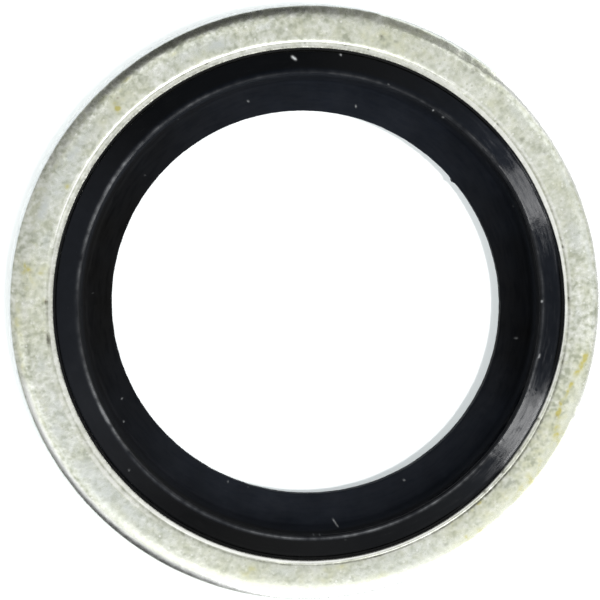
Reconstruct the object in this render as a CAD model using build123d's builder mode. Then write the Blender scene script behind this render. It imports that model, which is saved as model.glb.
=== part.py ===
from build123d import *
import os
from math import asin, cos, radians, sin, tan

# Self-centring bonded sealing washer for a G 1/2 pipe thread.
# Frame: +Z up along the washer's axis, origin at the centre of the plane it rests on
# (the crest of the lower sealing lip). Millimetres.

# ---- driving dimensions -------------------------------------------------
RING_OD = 28.58          # outside diameter of the steel ring
RING_ID = 24.54          # inside diameter of the steel ring, the bond line
RING_T = 2.50            # steel thickness
FACE_FLAT_D = 26.80      # flat part of each steel face ends here
FACE_BEND_D = 27.64      # where the face's slow roll-off turns into the rounded edge
FACE_ROLL_R = 2.00       # radius of the slow roll-off
EDGE_BEND_D = 28.44      # where the rounded edge tightens
EDGE_BEND = 40.0         # its slope there, degrees below the horizontal
INNER_EDGE_R = 0.10      # rounding of the steel's inner edge
LIP_DROP = 0.016         # how far the narrow lip inside the groove lies below the face
GROOVE_IN_D = 24.94      # shut-off groove: where it falls away from the lip
GROOVE_BOTTOM_D = 25.08  # its lowest line
GROOVE_OUT_D = 25.44     # where its slow rise dies out in the face
GROOVE_DEPTH = 0.030

BORE_D = 18.54           # bore through the centring web
WEB_T = 0.70             # thickness of the centring web
BORE_EDGE_R = 0.08       # rounding of the bore's two edges
CREST_D = 22.32          # diameter of the lip's crest line
CREST_PROUD = 0.35       # height of each crest above the steel face
CREST_R = 0.12           # rounding of the crest
OUTER_SLOPE = 25.0       # fall of the lip towards the steel, degrees below the horizontal
INNER_DRAFT = 17.0       # draft of the lip's inner flank, degrees off the axis
FOOT_R = 0.25            # fillet between the inner flank and the web

# ---- derived ------------------------------------------------------------
HALF_T = RING_T / 2
HALF_H = HALF_T + CREST_PROUD          # half of the overall height
MID = Plane(origin=(0, 0, HALF_H), x_dir=(1, 0, 0), z_dir=(0, -1, 0))
# local x of MID is the radius, local y is the height above the mid-plane

os.makedirs("parts", exist_ok=True)

# ---- steel ring ---------------------------------------------------------
bond_r = RING_ID / 2
outer_r = RING_OD / 2
flat_r = FACE_FLAT_D / 2
bend_r = FACE_BEND_D / 2
bend_tilt = asin((bend_r - flat_r) / FACE_ROLL_R)
bend_z = HALF_T - FACE_ROLL_R * (1 - cos(bend_tilt))
# the rounded edge is two arcs that run into each other, the outer one tighter
edge_tilt = radians(EDGE_BEND)
edge_bend_r = EDGE_BEND_D / 2
first_r = (edge_bend_r - bend_r) / (sin(edge_tilt) - sin(bend_tilt))
edge_bend_z = bend_z - first_r * (cos(bend_tilt) - cos(edge_tilt))
edge_r = (outer_r - edge_bend_r) / (1 - sin(edge_tilt))
wall_z = edge_bend_z - edge_r * cos(edge_tilt)
lip_z = HALF_T - LIP_DROP

with BuildPart() as metal_ring:
    with BuildSketch(MID):
        with BuildLine():
            # inner wall and its rounded edge
            Line((bond_r, 0), (bond_r, lip_z - INNER_EDGE_R))
            TangentArc(
                (bond_r, lip_z - INNER_EDGE_R),
                (bond_r + INNER_EDGE_R, lip_z),
                tangent=(0, 1),
            )
            # lip, shut-off groove and the flat face
            Polyline(
                (bond_r + INNER_EDGE_R, lip_z),
                (GROOVE_IN_D / 2, lip_z),
                (GROOVE_BOTTOM_D / 2, HALF_T - GROOVE_DEPTH),
            )
            TangentArc(
                (GROOVE_BOTTOM_D / 2, HALF_T - GROOVE_DEPTH),
                (GROOVE_OUT_D / 2, HALF_T),
                tangent=(-1, 0),
                tangent_from_first=False,
            )
            Line((GROOVE_OUT_D / 2, HALF_T), (flat_r, HALF_T))
            # slow roll-off, then the rounded outer edge down to the upright wall
            TangentArc((flat_r, HALF_T), (bend_r, bend_z), tangent=(1, 0))
            TangentArc(
                (bend_r, bend_z),
                (edge_bend_r, edge_bend_z),
                tangent=(cos(bend_tilt), -sin(bend_tilt)),
            )
            TangentArc(
                (edge_bend_r, edge_bend_z),
                (outer_r, wall_z),
                tangent=(cos(edge_tilt), -sin(edge_tilt)),
            )
            Line((outer_r, wall_z), (outer_r, 0))
            # the lower half is the same
            mirror(about=Plane.XZ)
        make_face()
    revolve(axis=Axis.Z)

metal_ring.part.label = "metal_ring"
export_step(metal_ring.part, "parts/metal_ring.step")

# ---- rubber seal --------------------------------------------------------
bore_r = BORE_D / 2
half_web = WEB_T / 2
slope = radians(OUTER_SLOPE)
draft = radians(INNER_DRAFT)
crest_c = (CREST_D / 2, HALF_H - CREST_R)            # centre of the crest's rounding
crest_out = (crest_c[0] + CREST_R * sin(slope), crest_c[1] + CREST_R * cos(slope))
crest_in = (crest_c[0] - CREST_R * cos(draft), crest_c[1] + CREST_R * sin(draft))
crease_z = crest_out[1] - (bond_r - crest_out[0]) * tan(slope)
foot = (crest_in[0] - (crest_in[1] - half_web) * tan(draft), half_web)
# tangent points of the foot fillet
foot_t = FOOT_R * tan((radians(90) - draft) / 2)
foot_web = (foot[0] - foot_t, half_web)
foot_flank = (foot[0] + foot_t * sin(draft), foot[1] + foot_t * cos(draft))

with BuildPart() as rubber_seal:
    with BuildSketch(MID):
        with BuildLine():
            # bore wall with a rounded edge, then the web's face
            Line((bore_r, 0), (bore_r, half_web - BORE_EDGE_R))
            TangentArc(
                (bore_r, half_web - BORE_EDGE_R),
                (bore_r + BORE_EDGE_R, half_web),
                tangent=(0, 1),
            )
            Line((bore_r + BORE_EDGE_R, half_web), foot_web)
            # fillet up into the inner flank
            TangentArc(foot_web, foot_flank, tangent=(1, 0))
            Line(foot_flank, crest_in)
            # crest
            TangentArc(crest_in, crest_out, tangent=(sin(draft), cos(draft)))
            # outer flank down to the bond line, then along the bond
            Line(crest_out, (bond_r, crease_z))
            Line((bond_r, crease_z), (bond_r, 0))
            mirror(about=Plane.XZ)
        make_face()
    revolve(axis=Axis.Z)

rubber_seal.part.label = "rubber_seal"
export_step(rubber_seal.part, "parts/rubber_seal.step")

print("overall height", 2 * HALF_H)
print("upright wall height", 2 * wall_z, "rounded edge radii", first_r, edge_r)
print("crease below the steel face", HALF_T - crease_z, "foot radius from axis", foot[0])
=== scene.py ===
import math

import bpy
import numpy as np
from mathutils import Matrix, Vector


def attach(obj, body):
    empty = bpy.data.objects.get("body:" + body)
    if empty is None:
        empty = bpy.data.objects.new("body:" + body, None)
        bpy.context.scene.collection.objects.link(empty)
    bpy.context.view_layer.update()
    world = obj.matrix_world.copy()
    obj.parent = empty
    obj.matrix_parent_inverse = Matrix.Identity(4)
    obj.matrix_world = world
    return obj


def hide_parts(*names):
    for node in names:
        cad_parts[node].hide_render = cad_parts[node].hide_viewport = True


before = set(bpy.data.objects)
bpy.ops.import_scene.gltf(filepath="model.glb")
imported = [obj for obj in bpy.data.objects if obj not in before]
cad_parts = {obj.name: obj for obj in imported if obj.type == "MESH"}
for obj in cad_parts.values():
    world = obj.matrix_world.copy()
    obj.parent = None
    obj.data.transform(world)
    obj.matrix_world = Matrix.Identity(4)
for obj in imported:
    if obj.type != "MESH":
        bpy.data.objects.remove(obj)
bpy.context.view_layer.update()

# Bonded sealing washer for a half-inch pipe thread: a zinc-plated steel ring with a
# self-centring rubber seal bonded into it. Everything below is worked out in
# millimetres and written to the meshes in metres.
MM = 0.001

# ---- the section, as in the CAD -----------------------------------------
RING_OD, RING_ID, RING_T = 28.58, 24.54, 2.50
FACE_FLAT_D, FACE_BEND_D, FACE_ROLL_R = 26.80, 27.64, 2.00
EDGE_BEND_D, EDGE_BEND = 28.44, math.radians(40.0)
INNER_EDGE_R = 0.10
LIP_DROP = 0.016
GROOVE_IN_D, GROOVE_BOTTOM_D, GROOVE_OUT_D, GROOVE_DEPTH = 24.94, 25.08, 25.44, 0.030
RISE = 2.4  # how fast the groove's rise dies out
BORE_D, WEB_T, BORE_EDGE_R = 18.54, 0.70, 0.08
CREST_D, CREST_PROUD, CREST_R = 22.32, 0.35, 0.12
OUTER_SLOPE, INNER_DRAFT, FOOT_R = math.radians(25.0), math.radians(17.0), 0.25

HALF_T = RING_T / 2
HALF_H = HALF_T + CREST_PROUD
BOND_R, OUTER_R = RING_ID / 2, RING_OD / 2
FLAT_R, BEND_R, EDGE_BEND_R = FACE_FLAT_D / 2, FACE_BEND_D / 2, EDGE_BEND_D / 2
PX = 0.04789  # millimetres on the steel face for one unit of the marks' radii below


# ---- seeded noise --------------------------------------------------------
def hashed(ix, iy, iz, seed):
    h = (ix * 73856093) ^ (iy * 19349663) ^ (iz * 83492791) ^ (seed * 40503 + 977)
    h &= 0xFFFFFFFF
    for _ in range(2):
        h = ((h ^ (h >> 16)) * 0x45D9F3B) & 0xFFFFFFFF
    return h ^ (h >> 16)


def noise(p, size, seed):
    """Gradient noise from about -1 to 1 at points p (n, 3), with features of this size."""
    q = p / size + 31.7
    i = np.floor(q).astype(np.int64)
    f = q - i
    u = f * f * f * (f * (f * 6 - 15) + 10)
    total = np.zeros(len(p))
    for c in ((a, b, d) for a in (0, 1) for b in (0, 1) for d in (0, 1)):
        h = hashed(i[:, 0] + c[0], i[:, 1] + c[1], i[:, 2] + c[2], seed)
        turn = (h & 0xFFFF) * (2 * math.pi / 65536)
        lift = ((h >> 16) & 0xFFFF) / 32767.5 - 1
        flat = np.sqrt(1 - lift * lift)
        g = (
            flat * np.cos(turn) * (f[:, 0] - c[0])
            + flat * np.sin(turn) * (f[:, 1] - c[1])
            + lift * (f[:, 2] - c[2])
        )
        w = np.ones(len(p))
        for k in range(3):
            w *= u[:, k] if c[k] else 1 - u[:, k]
        total += w * g
    return total * 1.75


def fractal(p, size, seed, octaves=3, gain=0.5):
    total, amp, norm = np.zeros(len(p)), 1.0, 0.0
    for k in range(octaves):
        total += amp * noise(p, size / 2**k, seed + 17 * k)
        norm += amp
        amp *= gain
    return total / norm


def smooth(a, b, x):
    t = np.clip((x - a) / (b - a), 0, 1)
    return t * t * (3 - 2 * t)


def window(x, a, b, soft):
    return smooth(a - soft, a, x) * (1 - smooth(b, b + soft, x))


# ---- profiles: the upper half of the section, from its inner side over the top ---
def arc(cx, cy, r, a0, a1, n):
    """n points after the first, on a circle from angle a0 to a1 in degrees."""
    t = np.radians(np.linspace(a0, a1, n + 1))[1:]
    return [(cx + r * math.cos(a), cy + r * math.sin(a)) for a in t]


def run(a, b, n):
    """n points after the first, on the line from a to b."""
    return [
        (a[0] + (b[0] - a[0]) * k / n, a[1] + (b[1] - a[1]) * k / n) for k in range(1, n + 1)
    ]


def steel_section(fine):
    tilt = math.asin((BEND_R - FLAT_R) / FACE_ROLL_R)
    bend_z = HALF_T - FACE_ROLL_R * (1 - math.cos(tilt))
    # two arcs turn the face down into the side, the second much tighter
    roll_r = (EDGE_BEND_R - BEND_R) / (math.sin(EDGE_BEND) - math.sin(tilt))
    roll_c = (BEND_R - roll_r * math.sin(tilt), bend_z - roll_r * math.cos(tilt))
    edge_r = (OUTER_R - EDGE_BEND_R) / (1 - math.sin(EDGE_BEND))
    edge_c = (OUTER_R - edge_r, roll_c[1] + (roll_r - edge_r) * math.cos(EDGE_BEND))
    n = (6, 4, 7, 11, 7, 7, 8, 3) if fine else (4, 3, 4, 7, 4, 5, 5, 2)
    r, lip = INNER_EDGE_R, HALF_T - LIP_DROP
    p = [(BOND_R, 0.06), (BOND_R, 0.95), (BOND_R, lip - r - 0.06), (BOND_R, lip - r)]
    p += arc(BOND_R + r, lip - r, r, 180, 90, n[0])
    p += [(GROOVE_IN_D / 2, lip)]
    low = (GROOVE_BOTTOM_D / 2, HALF_T - GROOVE_DEPTH)
    p += run(p[-1], low, n[1])
    span = (GROOVE_OUT_D - GROOVE_BOTTOM_D) / 2
    for k in range(1, n[2] + 1):  # the rise is steep at the bottom and dies out in the face
        t = (k / n[2]) ** 1.2
        p += [(low[0] + span * t, HALF_T - GROOVE_DEPTH * (1 - t) ** RISE)]
    p += run(p[-1], (FLAT_R, HALF_T), n[3])
    deg = math.degrees(tilt)
    p += arc(FLAT_R, HALF_T - FACE_ROLL_R, FACE_ROLL_R, 90, 90 - deg, n[4])
    p += arc(*roll_c, roll_r, 90 - deg, 90 - math.degrees(EDGE_BEND), n[5])
    p += arc(*edge_c, edge_r, 90 - math.degrees(EDGE_BEND), 0, n[6])
    p += run(p[-1], (OUTER_R, 0.04), n[7])
    return np.array(p)


def rubber_section(fine):
    bore, half_web, e = BORE_D / 2, WEB_T / 2, BORE_EDGE_R
    c = (CREST_D / 2, HALF_H - CREST_R)
    out = (c[0] + CREST_R * math.sin(OUTER_SLOPE), c[1] + CREST_R * math.cos(OUTER_SLOPE))
    inn = (c[0] - CREST_R * math.cos(INNER_DRAFT), c[1] + CREST_R * math.sin(INNER_DRAFT))
    crease = out[1] - (BOND_R - out[0]) * math.tan(OUTER_SLOPE)
    foot = inn[0] - (inn[1] - half_web) * math.tan(INNER_DRAFT)
    t = FOOT_R * math.tan((math.radians(90) - INNER_DRAFT) / 2)
    n = (5, 11, 6, 9, 9, 12, 7) if fine else (4, 7, 4, 6, 6, 8, 3)
    p = [(bore, 0.03), (bore, 0.15), (bore, half_web - e)]
    p += arc(bore + e, half_web - e, e, 180, 90, n[0])
    p += run(p[-1], (foot - t, half_web), n[1])
    draft = math.degrees(INNER_DRAFT)
    p += arc(foot - t, half_web + FOOT_R, FOOT_R, -90, -draft, n[2])
    p += run(p[-1], inn, n[3])
    p += arc(*c, CREST_R, 180 - draft, 90 - math.degrees(OUTER_SLOPE), n[4])
    near = BOND_R - 0.24
    p += run(p[-1], (near, crease + 0.24 * math.tan(OUTER_SLOPE)), n[5])
    p += run(p[-1], (BOND_R, crease), n[6])
    p += [(BOND_R, crease - 0.12), (BOND_R, 0.8), (BOND_R, 0.05)]
    return np.array(p)


def normals_of(p):
    d = np.gradient(p, axis=0)
    n = np.stack([-d[:, 1], d[:, 0]], 1)
    return n / np.linalg.norm(n, axis=1)[:, None]


# ---- a closed ring: many columns over the top, half as many underneath -----
def ring_mesh(name, section, n_top, shape, strips):
    """shape(theta, r, z, nr, nz, upper) gives positions (n, 3) and marks (n, 4)."""
    parts, lengths, s = [], [], 0.0
    last = None
    for upper in (True, False):
        p = section(upper)
        nrm = normals_of(p)
        n = n_top if upper else n_top // 2
        if not upper:
            p = p[::-1] * (1, -1)
            nrm = nrm[::-1] * (1, -1)
        for row in p:
            if last is not None:
                s += math.dist(last, row)
            lengths.append(s)
            last = row
        th = np.arange(n) * (2 * math.pi / n)
        T = np.tile(th, len(p))
        R, Z = np.repeat(p[:, 0], n), np.repeat(p[:, 1], n)
        NR, NZ = np.repeat(nrm[:, 0], n), np.repeat(nrm[:, 1], n)
        pos, marks = shape(T, R, Z, NR, NZ, upper)
        parts.append((pos, marks, len(p), n))
    m1, n1 = parts[0][2:]
    m2, n2 = parts[1][2:]
    s_all = s + math.dist(last, section(True)[0])
    co = np.concatenate([parts[0][0], parts[1][0]])
    marks = np.concatenate([parts[0][1], parts[1][1]])
    rows = m1 + m2

    def vertex(i, j):
        i = i % rows
        return np.where(i < m1, i * n1 + j % n1, m1 * n1 + (i - m1) * n2 + j % n2)

    # each corner of a face is (row, column), both counted on past the seams
    faces = []

    def quads(i0, i1, n):
        i, j = np.meshgrid(np.arange(i0, i1), np.arange(n), indexing="ij")
        i, j = i.ravel(), j.ravel()
        u = np.stack([j, j, j + 1, j + 1], 1) / n
        ii = np.stack([i, i + 1, i + 1, i], 1)
        jj = np.stack([j, j, j + 1, j + 1], 1)
        faces.append((ii, jj, u))

    quads(0, m1 - 1, n1)
    quads(m1, rows - 1, n2)
    k = np.arange(n2)
    for i, fine_first in ((m1 - 1, True), (rows - 1, False)):
        a, b = np.full(n2, i), np.full(n2, i + 1)
        if fine_first:
            tri = (
                ((a, 2 * k, 1), (b, k, 2), (a, 2 * k + 1, 1)),
                ((a, 2 * k + 1, 1), (b, k, 2), (b, k + 1, 2)),
                ((a, 2 * k + 1, 1), (b, k + 1, 2), (a, 2 * k + 2, 1)),
            )
        else:
            tri = (
                ((a, k, 2), (b, 2 * k, 1), (b, 2 * k + 1, 1)),
                ((a, k, 2), (b, 2 * k + 1, 1), (a, k + 1, 2)),
                ((a, k + 1, 2), (b, 2 * k + 1, 1), (b, 2 * k + 2, 1)),
            )
        for corners in tri:
            ii = np.stack([c[0] for c in corners], 1)
            jj = np.stack([c[1] for c in corners], 1)
            u = np.stack([c[1] / (n1 if c[2] == 1 else n2) for c in corners], 1)
            faces.append((ii, jj, u))

    index, uvs = [], []
    lengths = np.array(lengths + [s_all])
    pad = 0.004
    for ii, jj, u in faces:
        index += vertex(ii, jj).tolist()
        v = lengths[ii] / s_all
        strip = np.floor(u.min(1) * strips + 1e-6).clip(0, strips - 1)[:, None]
        x = (u * strips - strip) * (1 - 2 * pad) + pad
        y = (strip + v * (1 - 2 * pad * strips) + pad * strips) / strips
        uvs.append(np.stack([x, y], -1).reshape(-1, 2))
    me = bpy.data.meshes.new(name)
    me.from_pydata((co * MM).tolist(), [], index)
    me.update()
    layer = me.uv_layers.new(name="OFBake")
    layer.uv.foreach_set("vector", np.concatenate(uvs).astype(np.float32).ravel())
    attr = me.attributes.new("marks", "FLOAT_COLOR", "POINT")
    attr.data.foreach_set("color", marks.astype(np.float32).ravel())
    me.shade_smooth()
    ob = bpy.data.objects.new(name, me)
    bpy.context.scene.collection.objects.link(ob)
    tris = sum(len(f) - 2 for f in index)
    print(name, "triangles", tris, "volume mm3 about", round(ring_volume(co, index), 2))
    return ob


def ring_volume(co, index):
    quad = np.array([f for f in index if len(f) == 4])
    tri = np.array([f for f in index if len(f) == 3])
    tris = np.concatenate([quad[:, :3], quad[:, [0, 2, 3]], tri])
    a, b, c = co[tris[:, 0]], co[tris[:, 1]], co[tris[:, 2]]
    return float(np.einsum("ij,ij->i", a, np.cross(b, c)).sum() / 6)


def polar(th, r, z):
    return np.stack([r * np.cos(th), r * np.sin(th), z], 1)


def around(deg, lobes):
    """Sum of soft bumps round the ring."""
    out = np.zeros_like(deg)
    for az, half, amount in lobes:
        out = out + amount * np.exp(-((((deg - az + 180) % 360 - 180) / half) ** 2))
    return out


def spot(th, r, az, px, along, across):
    """A soft spot at azimuth az and radius px, with its two half-sizes in mm."""
    c = px * PX
    d = (th - math.radians(az) + math.pi) % (2 * math.pi) - math.pi
    return np.exp(-((d * c / along) ** 2) - ((r - c) / across) ** 2)


def meet(th, z):
    """How far the line where the two parts meet is out of round, in mm."""
    out = -0.020 - 0.047 * np.cos(2 * (th - math.radians(42)))
    out = out - 0.023 * np.cos(th - math.radians(145))
    return out * smooth(0.3, 1.1, z)


# how far the rubber laps over the lip round the upper bond line: azimuth, hundredths of a mm
LAP = [
    (0, 6.0), (12, 3.8), (24, -1.0), (36, -0.8), (48, -1.6), (60, -1.8), (72, -1.6), (84, -1.0),
    (96, -1.3), (108, -1.8), (120, -2.3), (132, -2.3), (144, -2.5), (156, -2.6), (168, -2.3),
    (180, -1.8), (192, -1.4), (204, -0.8), (216, 0.0), (228, 1.2), (240, 1.5), (252, 2.8), (264, 3.6),
    (276, 3.7), (288, 2.9), (300, 2.8), (312, 2.6), (324, 0.4), (336, 3.0), (348, 6.4), (360, 6.0),
]


def lap(th, z):
    out = np.interp(np.degrees(th) % 360, [a for a, v in LAP], [v for a, v in LAP]) * 0.01
    return out * smooth(0.3, 1.1, z)


# ---- steel ring ------------------------------------------------------------
# Marks on the upper face: azimuth, radius, half-length, half-width, strength.
YELLOW = [
    (133.4, 278, 0.22, 0.20, 1.00), (131.0, 284, 0.20, 0.16, 0.60), (134.5, 270, 0.16, 0.14, 0.50),
    (129.0, 289, 0.35, 0.10, 0.55), (138.0, 276, 0.30, 0.30, 0.35), (153.5, 270, 0.12, 0.12, 0.50),
    (171.7, 286, 0.16, 0.12, 0.95), (172.6, 281, 0.15, 0.14, 0.90), (173.6, 277, 0.16, 0.12, 0.85),
    (171.3, 276, 0.12, 0.16, 0.45), (182.0, 288, 0.30, 0.06, 0.55), (178.2, 287, 0.2, 0.07, 0.35),
    (256.8, 277, 0.42, 0.40, 0.42), (273.0, 276, 0.50, 0.30, 0.45), (284.0, 283, 0.60, 0.16, 0.35),
    (303.0, 265, 0.12, 0.10, 0.50), (308.2, 266, 0.16, 0.12, 0.55), (310.8, 265, 0.18, 0.10, 0.70),
    (313.5, 281, 0.5, 0.14, 0.35), (322.0, 283, 0.45, 0.16, 0.50), (327.5, 280, 0.25, 0.14, 0.60),
    (330.2, 283.2, 0.22, 0.18, 0.90), (331.7, 283.4, 0.24, 0.20, 1.20), (333.2, 280.4, 0.24, 0.17, 1.25),
    (334.8, 277.2, 0.25, 0.15, 1.30), (336.3, 274.8, 0.30, 0.16, 1.55), (338.3, 274.2, 0.28, 0.13, 1.30),
    (340.5, 275.8, 0.30, 0.12, 1.20), (342.7, 277.3, 0.30, 0.13, 1.20), (345.0, 279.3, 0.32, 0.18, 1.30),
    (347.0, 282.0, 0.28, 0.17, 1.20), (348.5, 284.5, 0.36, 0.18, 1.15), (2.0, 279, 0.4, 0.3, 0.25), (70.0, 270, 0.8, 0.25, 0.30),
    (48.0, 268, 0.5, 0.2, 0.30), (200.5, 292, 0.5, 0.05, 0.5), (212.0, 270, 0.3, 0.2, 0.25),
    (228.0, 279, 0.6, 0.2, 0.25), (243.0, 272, 0.4, 0.25, 0.3), (118.0, 284, 0.4, 0.1, 0.35),
    (104.0, 280, 0.5, 0.2, 0.25), (90.0, 272, 0.6, 0.25, 0.2), (25.0, 276, 0.5, 0.25, 0.3),
    (172.5, 281, 0.50, 0.42, 0.60), (172.0, 270, 0.35, 0.50, 0.45), (183.0, 274, 1.4, 0.7, 0.22),
    (333.0, 278, 2.0, 0.60, 0.48), (331.0, 268, 1.6, 0.5, 0.35), (74.0, 276, 1.9, 0.7, 0.36),
    (132.0, 278, 0.9, 0.5, 0.40), (255.0, 276, 2.4, 0.7, 0.16), (25.0, 276, 2.0, 0.7, 0.10),
    (45.0, 272, 2.0, 0.7, 0.12), (113.0, 270, 0.6, 0.3, 0.30),
    (310.5, 264.2, 0.20, 0.12, 1.2), (173.1, 286.5, 0.15, 0.22, 1.0), (174.2, 279.0, 0.36, 0.22, 0.95),
    (172.8, 270.0, 0.14, 0.25, 0.75), (175.0, 277.0, 0.85, 0.55, 0.45), (153.5, 268.5, 0.15, 0.13, 1.0),
    (134.9, 290.0, 0.24, 0.10, 0.8), (183.0, 290.0, 1.2, 0.20, 0.6), (190.0, 292.0, 1.2, 0.14, 0.4),
    (202.0, 293.5, 0.9, 0.10, 0.7), (312.0, 276.0, 1.7, 0.60, 0.34), (324.0, 279.0, 1.4, 0.55, 0.62),
    (324.0, 267.0, 1.3, 0.35, 0.26), (340.0, 282.0, 1.3, 0.40, 0.34), (306.0, 286.0, 1.5, 0.28, 0.45),
    (320.0, 286.0, 1.3, 0.35, 0.62), (331.0, 286.5, 1.0, 0.30, 0.55), (347.0, 287.0, 1.3, 0.25, 0.36),
    (304.0, 270.0, 1.2, 0.40, 0.20),
    (134.0, 274.0, 0.17, 0.17, 1.2), (257.4, 272.0, 0.34, 0.20, 0.55), (273.9, 268.5, 0.30, 0.22, 0.50),
    (277.0, 265.5, 0.50, 0.14, 0.40), (174.0, 277.5, 0.10, 0.30, 0.8), (304.0, 284.0, 0.16, 0.12, 0.9),
    (316.0, 281, 0.5, 0.15, 0.5), (174.0, 284, 0.30, 0.12, 0.6), (336.0, 268, 0.25, 0.15, 0.5),
    (178.5, 264, 0.20, 0.12, 0.4), (347.0, 279, 1.2, 0.45, 0.40),
]
BROWN = [
    (178.8, 262.6, 0.045, 0.05, 1.0), (172.9, 279.5, 0.09, 0.07, 0.35), (132.6, 281, 0.07, 0.06, 0.5),
    (335.4, 274.5, 0.08, 0.06, 0.35), (338.2, 272.0, 0.07, 0.06, 0.35),
]
SATIN = [  # smoother, bluish-grey patches where the plating lies thin
    (10.0, 286.5, 1.4, 0.20, 0.5), (25.0, 287.0, 1.5, 0.20, 0.5), (41.0, 287.0, 1.4, 0.20, 0.45),
    (113.0, 287.0, 1.0, 0.20, 0.5),
    (110.0, 274, 0.75, 0.28, 0.9), (146.0, 280, 1.10, 0.24, 0.9), (160.0, 281, 0.80, 0.22, 0.8),
    (166.0, 270, 0.45, 0.20, 0.5), (207.0, 280, 0.85, 0.30, 0.7), (99.0, 281, 0.35, 0.16, 0.5),
    (14.0, 276, 0.8, 0.3, 0.55), (357.0, 270, 0.5, 0.2, 0.4), (42.0, 281, 0.6, 0.2, 0.5),
    (237.0, 268, 0.6, 0.2, 0.45), (292.0, 270, 0.7, 0.2, 0.4), (78.0, 283, 0.5, 0.2, 0.4),
    (192.0, 274, 0.5, 0.22, 0.45), (264.0, 269, 0.5, 0.2, 0.45), (318.0, 272, 0.5, 0.2, 0.4),
    (222.0, 276, 2.8, 0.8, 0.72), (152.0, 276, 1.8, 0.6, 0.50), (114.0, 277, 1.6, 0.5, 0.50),
    (290.0, 276, 2.0, 0.6, 0.38), (203.0, 272, 1.2, 0.5, 0.45),
]
PITS = [  # azimuth, radius, half-size, depth
    (74.9, 276.2, 0.10, 0.020), (71.9, 276.0, 0.07, 0.018), (58.0, 291.5, 0.16, 0.010),
    (54.6, 285.5, 0.20, 0.012), (52.9, 291.5, 0.13, 0.006), (32.6, 280.0, 0.08, 0.018),
    (49.0, 284.0, 0.06, 0.014), (37.8, 268.8, 0.12, 0.018), (113.0, 281.0, 0.08, 0.016),
    (319.0, 274.0, 0.09, 0.018), (12.0, 271.0, 0.06, 0.012), (96.0, 277.5, 0.06, 0.012),
    (141.0, 269.0, 0.07, 0.014), (219.0, 268.0, 0.07, 0.014), (249.0, 277.0, 0.08, 0.014),
    (281.0, 271.0, 0.07, 0.014), (299.5, 279.0, 0.08, 0.016), (161.0, 275.0, 0.05, 0.012),
    (196.0, 269.0, 0.06, 0.012), (205.0, 284.5, 0.06, 0.014), (66.0, 282.0, 0.05, 0.010),
    (126.3, 264.5, 0.05, -0.012), (130.1, 266.4, 0.06, -0.014), (132.7, 268.0, 0.06, -0.014),
    (135.1, 272.6, 0.05, -0.012), (343.0, 270.5, 0.05, -0.012), (24.0, 283.0, 0.07, -0.012),
]
# places where the shut-off groove is cut deeper (+) or closes up (-): az, half-length in mm, amount
GROOVE = [
    (187.1, 0.34, 1.3), (181.4, 0.10, 0.6), (178.8, 0.06, 1.2), (172.0, 0.25, 0.5), (1.0, 0.10, 1.2),
    (12.5, 0.08, 1.1), (43.5, 0.07, 1.2), (77.0, 0.06, 1.0), (82.0, 0.06, 0.9), (91.0, 0.05, 0.8),
    (113.0, 0.08, 0.8), (150.0, 1.6, -0.6), (158.0, 1.2, -0.7), (195.0, 0.9, -0.9), (203.0, 0.9, -0.9),
    (176.0, 0.3, -0.5), (183.8, 0.2, -0.7), (132.0, 1.2, -0.5), (215.0, 0.7, -0.4), (240.0, 0.5, 0.4),
    (314.5, 0.08, 0.6), (319.5, 0.30, 0.5), (324.5, 0.35, 0.5), (333.0, 0.12, 1.0), (347.0, 0.10, 0.7),
    (285.0, 0.4, 0.5), (301.0, 0.3, 0.5), (264.0, 0.4, 0.4),
]
# chips in the bead along the inner edge: az, half-length in mm, depth
CHIPS = [
    (314.5, 0.14, 0.012), (319.3, 0.20, 0.014), (323.2, 0.12, 0.010), (326.0, 0.14, 0.012),
    (332.9, 0.09, 0.045), (347.0, 0.12, 0.015), (43.5, 0.06, 0.020), (91.0, 0.05, 0.020),
    (112.8, 0.07, 0.030), (122.0, 0.05, 0.020), (128.0, 0.05, 0.020), (228.0, 0.08, 0.020),
    (268.0, 0.07, 0.020), (11.5, 0.06, 0.020),
]

# round the shut-off groove: azimuth, painted shade in the groove with some grime, painted highlight on the lip beside
# it
ROUND = [
    (0, 0.46, 0.72), (24, 0.48, 0.72), (36, 0.44, 0.66), (48, 0.34, 0.55), (60, 0.10, 0.40),
    (75, 0.0, 0.36), (160, 0.0, 0.40), (168, 0.14, 0.45), (180, 0.40, 0.36), (195, 0.18, 0.38),
    (210, 0.34, 0.36), (225, 0.38, 0.52), (240, 0.38, 0.80), (255, 0.42, 0.92), (264, 0.42, 0.95),
    (288, 0.46, 0.98), (300, 0.58, 0.96), (308, 0.74, 0.85), (312, 0.80, 0.85), (318, 0.78, 0.60),
    (324, 0.76, 0.50), (330, 0.64, 0.66), (336, 0.62, 0.80), (348, 0.54, 0.72), (360, 0.46, 0.72),
]
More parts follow.
